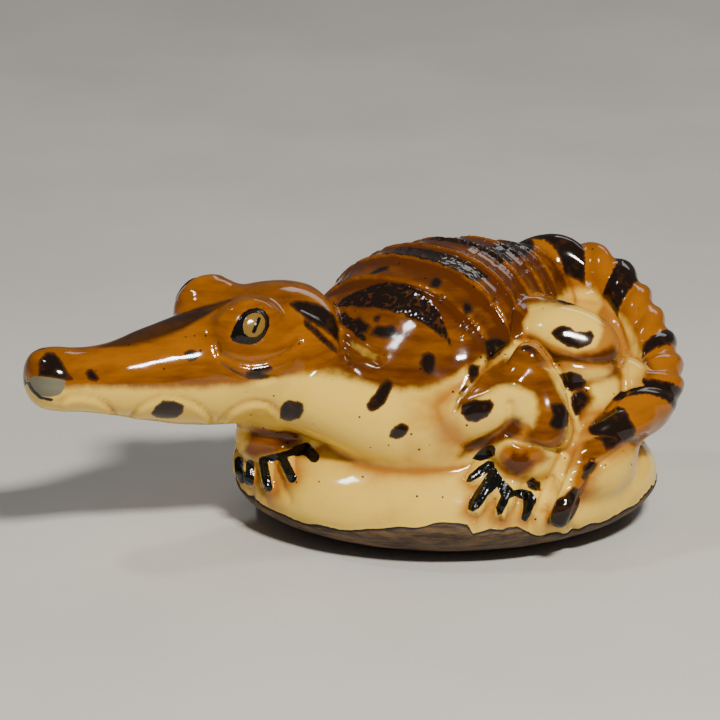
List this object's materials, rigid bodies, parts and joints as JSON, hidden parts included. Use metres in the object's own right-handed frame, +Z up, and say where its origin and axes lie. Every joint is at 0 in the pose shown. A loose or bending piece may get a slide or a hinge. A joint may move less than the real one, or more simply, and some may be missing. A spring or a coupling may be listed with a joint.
{
  "type": "crocodile carving",
  "caption": "Small long-snouted crocodile carved from one ivory nut, lying curled with its tail brought round its side, on the rounded, flat-bottomed nut.",
  "frame": {"origin": "on the ground, under the middle of the carving's box", "axes": "+Z up; X runs along the carving's length, with the snout at -X and the outer bend of the tail at +X; -Y is the side that the tail's tip and the nearer foot are on"},
  "size_m": [0.0578, 0.0314, 0.0243],
  "materials": {
    "ivory_nut": "glossy varnish over stained and natural ivory nut, with the nut's matt brown skin left on the underside"
  },
  "bodies": {
    "root": {"crocodile_carving": "ivory_nut"}
  },
  "joints": []
}
